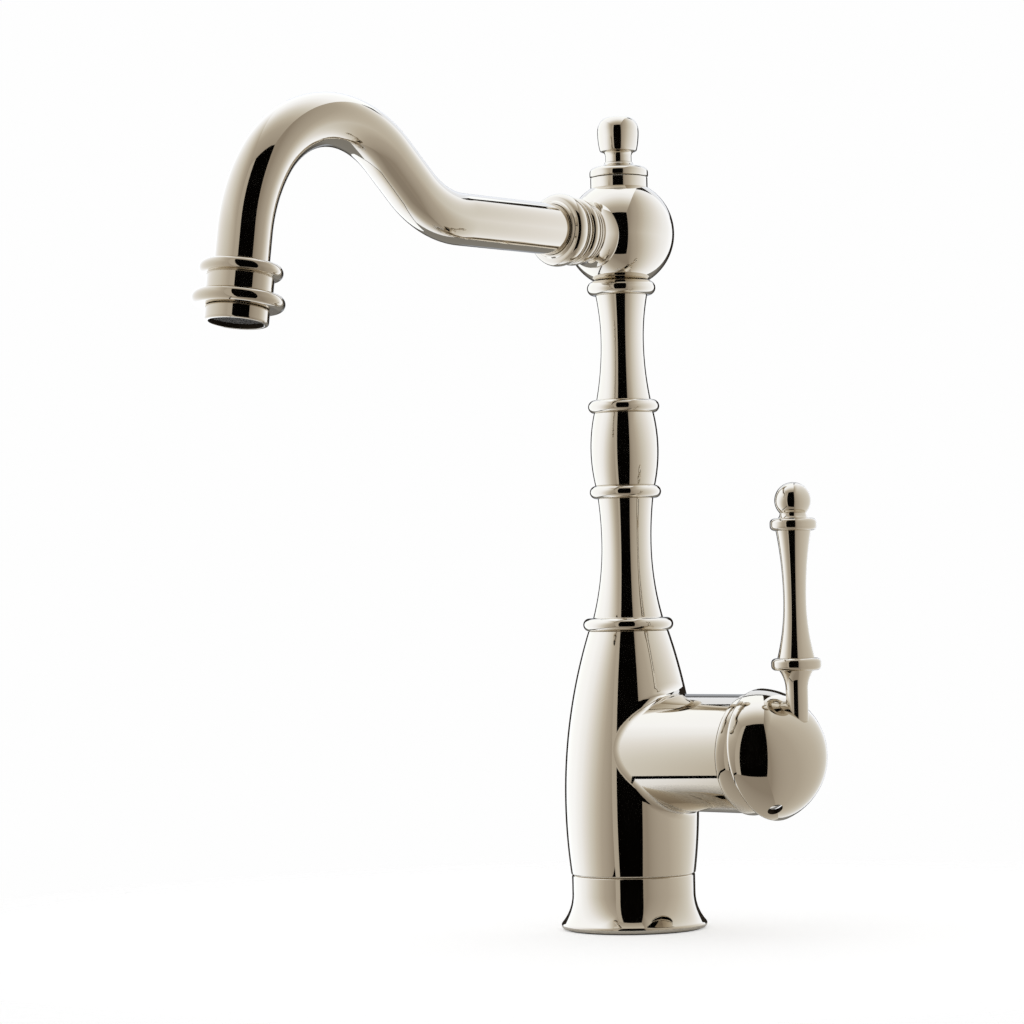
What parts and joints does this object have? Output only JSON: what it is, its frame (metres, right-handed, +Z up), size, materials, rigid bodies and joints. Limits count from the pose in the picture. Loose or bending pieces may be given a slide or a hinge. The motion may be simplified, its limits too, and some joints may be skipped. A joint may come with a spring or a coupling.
{
  "type": "bar faucet",
  "caption": "Gooseneck bar faucet with a turned column, a swivelling S-curved spout, a ball finial and a side lever on a domed barrel.",
  "frame": {"origin": "on the column's axis, at the deck, within 1 mm of the mounting stud hole's mouth", "axes": "+Z up along the column, -Y towards the spout's outlet, +X along the lever's barrel"},
  "size_m": [0.1346, 0.2852, 0.36],
  "materials": {
    "nickel": "polished nickel plate",
    "brass": "machined",
    "steel": "machined stainless steel",
    "rubber": "matte",
    "plastic": "moulded",
    "dark_plastic": "moulded",
    "ceramic": "lapped ceramic"
  },
  "bodies": {
    "faucet_base": {"deck_gasket": "rubber", "base_flange": "nickel", "valve_body": "nickel", "column_lower": "nickel", "column_middle": "nickel", "column_upper": "nickel", "riser_tube": "brass", "riser_seals": "rubber", "swivel_seat": "nickel", "swivel_post": "brass", "post_seals": "rubber", "swivel_washers": "plastic", "finial_cap": "nickel", "finial": "nickel", "cartridge_gasket": "rubber", "cartridge_base": "dark_plastic", "cartridge_housing": "plastic", "fixed_disc": "ceramic", "cartridge_nut": "brass", "bonnet": "nickel"},
    "temperature_stem": {"stem_carrier": "plastic", "pivot_pin": "steel"},
    "mixing_disc": {"moving_disc": "ceramic", "disc_driver": "dark_plastic"},
    "handle": {"spindle": "steel", "handle_dome": "nickel", "set_screw": "steel", "lever_stem": "nickel", "lever_grip": "nickel", "lever_knob": "nickel"},
    "spout": {"spout_hub": "nickel", "lock_ring": "nickel", "spout_nut": "nickel", "spout_gasket": "rubber", "spout_tube": "nickel", "outlet_collar": "nickel", "aerator_washer": "rubber", "aerator_housing": "nickel", "aerator_insert": "dark_plastic", "aerator_screen": "steel"}
  },
  "joints": [
    {"name": "spout_swivel", "type": "hinge", "parent": "faucet_base", "child": "spout", "pos_m": [0, 0, 0.3075], "axis": [0, 0, 1], "continuous": true},
    {"name": "temperature_turn", "type": "hinge", "parent": "faucet_base", "child": "temperature_stem", "pos_m": [0.0635, 0, 0.078], "axis": [1, 0, 0], "range_deg": [-45, 45]},
    {"name": "flow_tilt", "type": "hinge", "parent": "temperature_stem", "child": "handle", "pos_m": [0.0635, 0, 0.078], "axis": [0, 1, 0], "range_deg": [0, 25]},
    {"name": "disc_slide", "type": "slide", "parent": "temperature_stem", "child": "mixing_disc", "axis": [0, 0, 1], "range_m": [0, 0.0053]}
  ],
  "couplings": [
    {"joint": "disc_slide", "follows": "flow_tilt", "m_per_rad": 0.0117}
  ]
}
